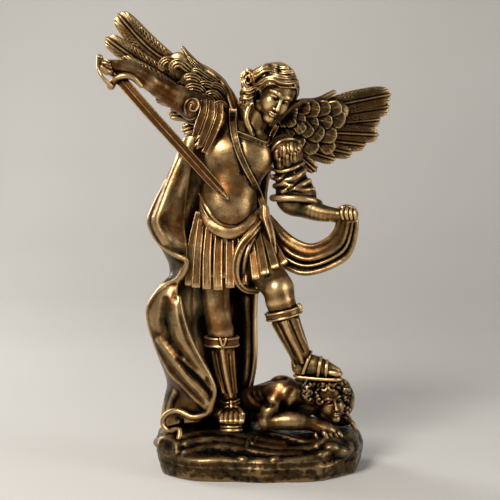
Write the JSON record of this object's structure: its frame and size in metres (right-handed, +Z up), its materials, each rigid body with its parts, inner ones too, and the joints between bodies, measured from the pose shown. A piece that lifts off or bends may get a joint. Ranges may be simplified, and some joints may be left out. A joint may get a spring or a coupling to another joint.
{
  "type": "archangel michael statue",
  "caption": "Winged archangel in armour with raised sword and cloak, one foot on a fallen figure's head, cast in one on a rocky oval plinth.",
  "frame": {"origin": "centre of the plinth's underside", "axes": "+Z up, -Y the front that faces the viewer, +X the viewer's right (the figure's left)"},
  "size_m": [0.1795, 0.0859, 0.2792],
  "materials": {
    "bronze_resin": "satin antique bronze: near-black brown in the hollows, warm brown between, rubbed pale gold on ridges and edges"
  },
  "bodies": {
    "root": {"archangel_statue": "bronze_resin"}
  },
  "joints": []
}
